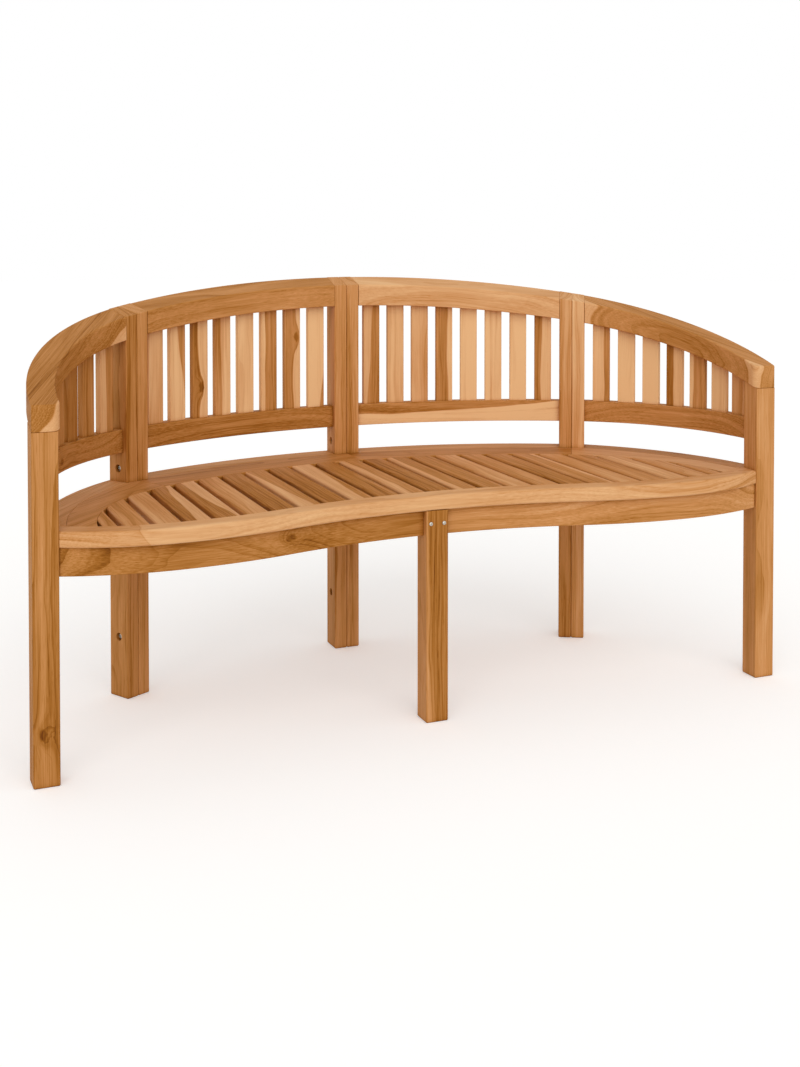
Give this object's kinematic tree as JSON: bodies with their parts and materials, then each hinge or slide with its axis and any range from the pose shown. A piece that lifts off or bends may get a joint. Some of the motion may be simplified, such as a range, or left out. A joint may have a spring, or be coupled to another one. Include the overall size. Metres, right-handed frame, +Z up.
{
  "type": "garden bench",
  "caption": "Curved teak garden bench: slatted seat with an S-curved front edge, and a slatted back whose sloping top rail runs down into the arms on split, bolted posts.",
  "frame": {"origin": "on the floor, at the middle of the bench's width and depth", "axes": "+X to the sitter's left along the width, +Y towards the back, +Z up"},
  "size_m": [1.598, 0.65, 0.868],
  "materials": {
    "teak": "sanded, bare, semi-matte",
    "steel": "plain, turned"
  },
  "bodies": {
    "root": {"back_slats_centre_left": "teak", "back_slats_centre_right": "teak", "back_slats_end_left": "teak", "back_slats_end_right": "teak", "centre_bearer": "teak", "front_apron_left": "teak", "front_apron_right": "teak", "front_leg_left": "teak", "front_leg_middle": "teak", "front_leg_right": "teak", "leg_bolts": "steel", "lower_rail_centre_left": "teak", "lower_rail_centre_right": "teak", "lower_rail_end_left": "teak", "lower_rail_end_right": "teak", "middle_post_left": "teak", "middle_post_right": "teak", "post_bolts": "steel", "post_nuts": "steel", "seat_board_centre_left": "teak", "seat_board_centre_right": "teak", "seat_board_end_left": "teak", "seat_board_end_right": "teak", "seat_front_rail": "teak", "seat_rail_centre_left": "teak", "seat_rail_centre_right": "teak", "seat_rail_end_left": "teak", "seat_rail_end_right": "teak", "seat_slat_01_left": "teak", "seat_slat_01_right": "teak", "seat_slat_02_left": "teak", "seat_slat_02_right": "teak", "seat_slat_03_left": "teak", "seat_slat_03_right": "teak", "seat_slat_04_left": "teak", "seat_slat_04_right": "teak", "seat_slat_05_left": "teak", "seat_slat_05_right": "teak", "seat_slat_06_left": "teak", "seat_slat_06_right": "teak", "seat_slat_07_left": "teak", "seat_slat_07_right": "teak", "seat_slat_08_left": "teak", "seat_slat_08_right": "teak", "seat_slat_09_left": "teak", "seat_slat_09_right": "teak", "seat_slat_10_left": "teak", "seat_slat_10_right": "teak", "seat_slat_11_left": "teak", "seat_slat_11_right": "teak", "seat_slat_12_left": "teak", "seat_slat_12_right": "teak", "side_post_inner_left": "teak", "side_post_inner_right": "teak", "side_post_outer_left": "teak", "side_post_outer_right": "teak", "top_rail_centre_left": "teak", "top_rail_centre_right": "teak", "top_rail_end_left": "teak", "top_rail_end_right": "teak"}
  },
  "joints": []
}
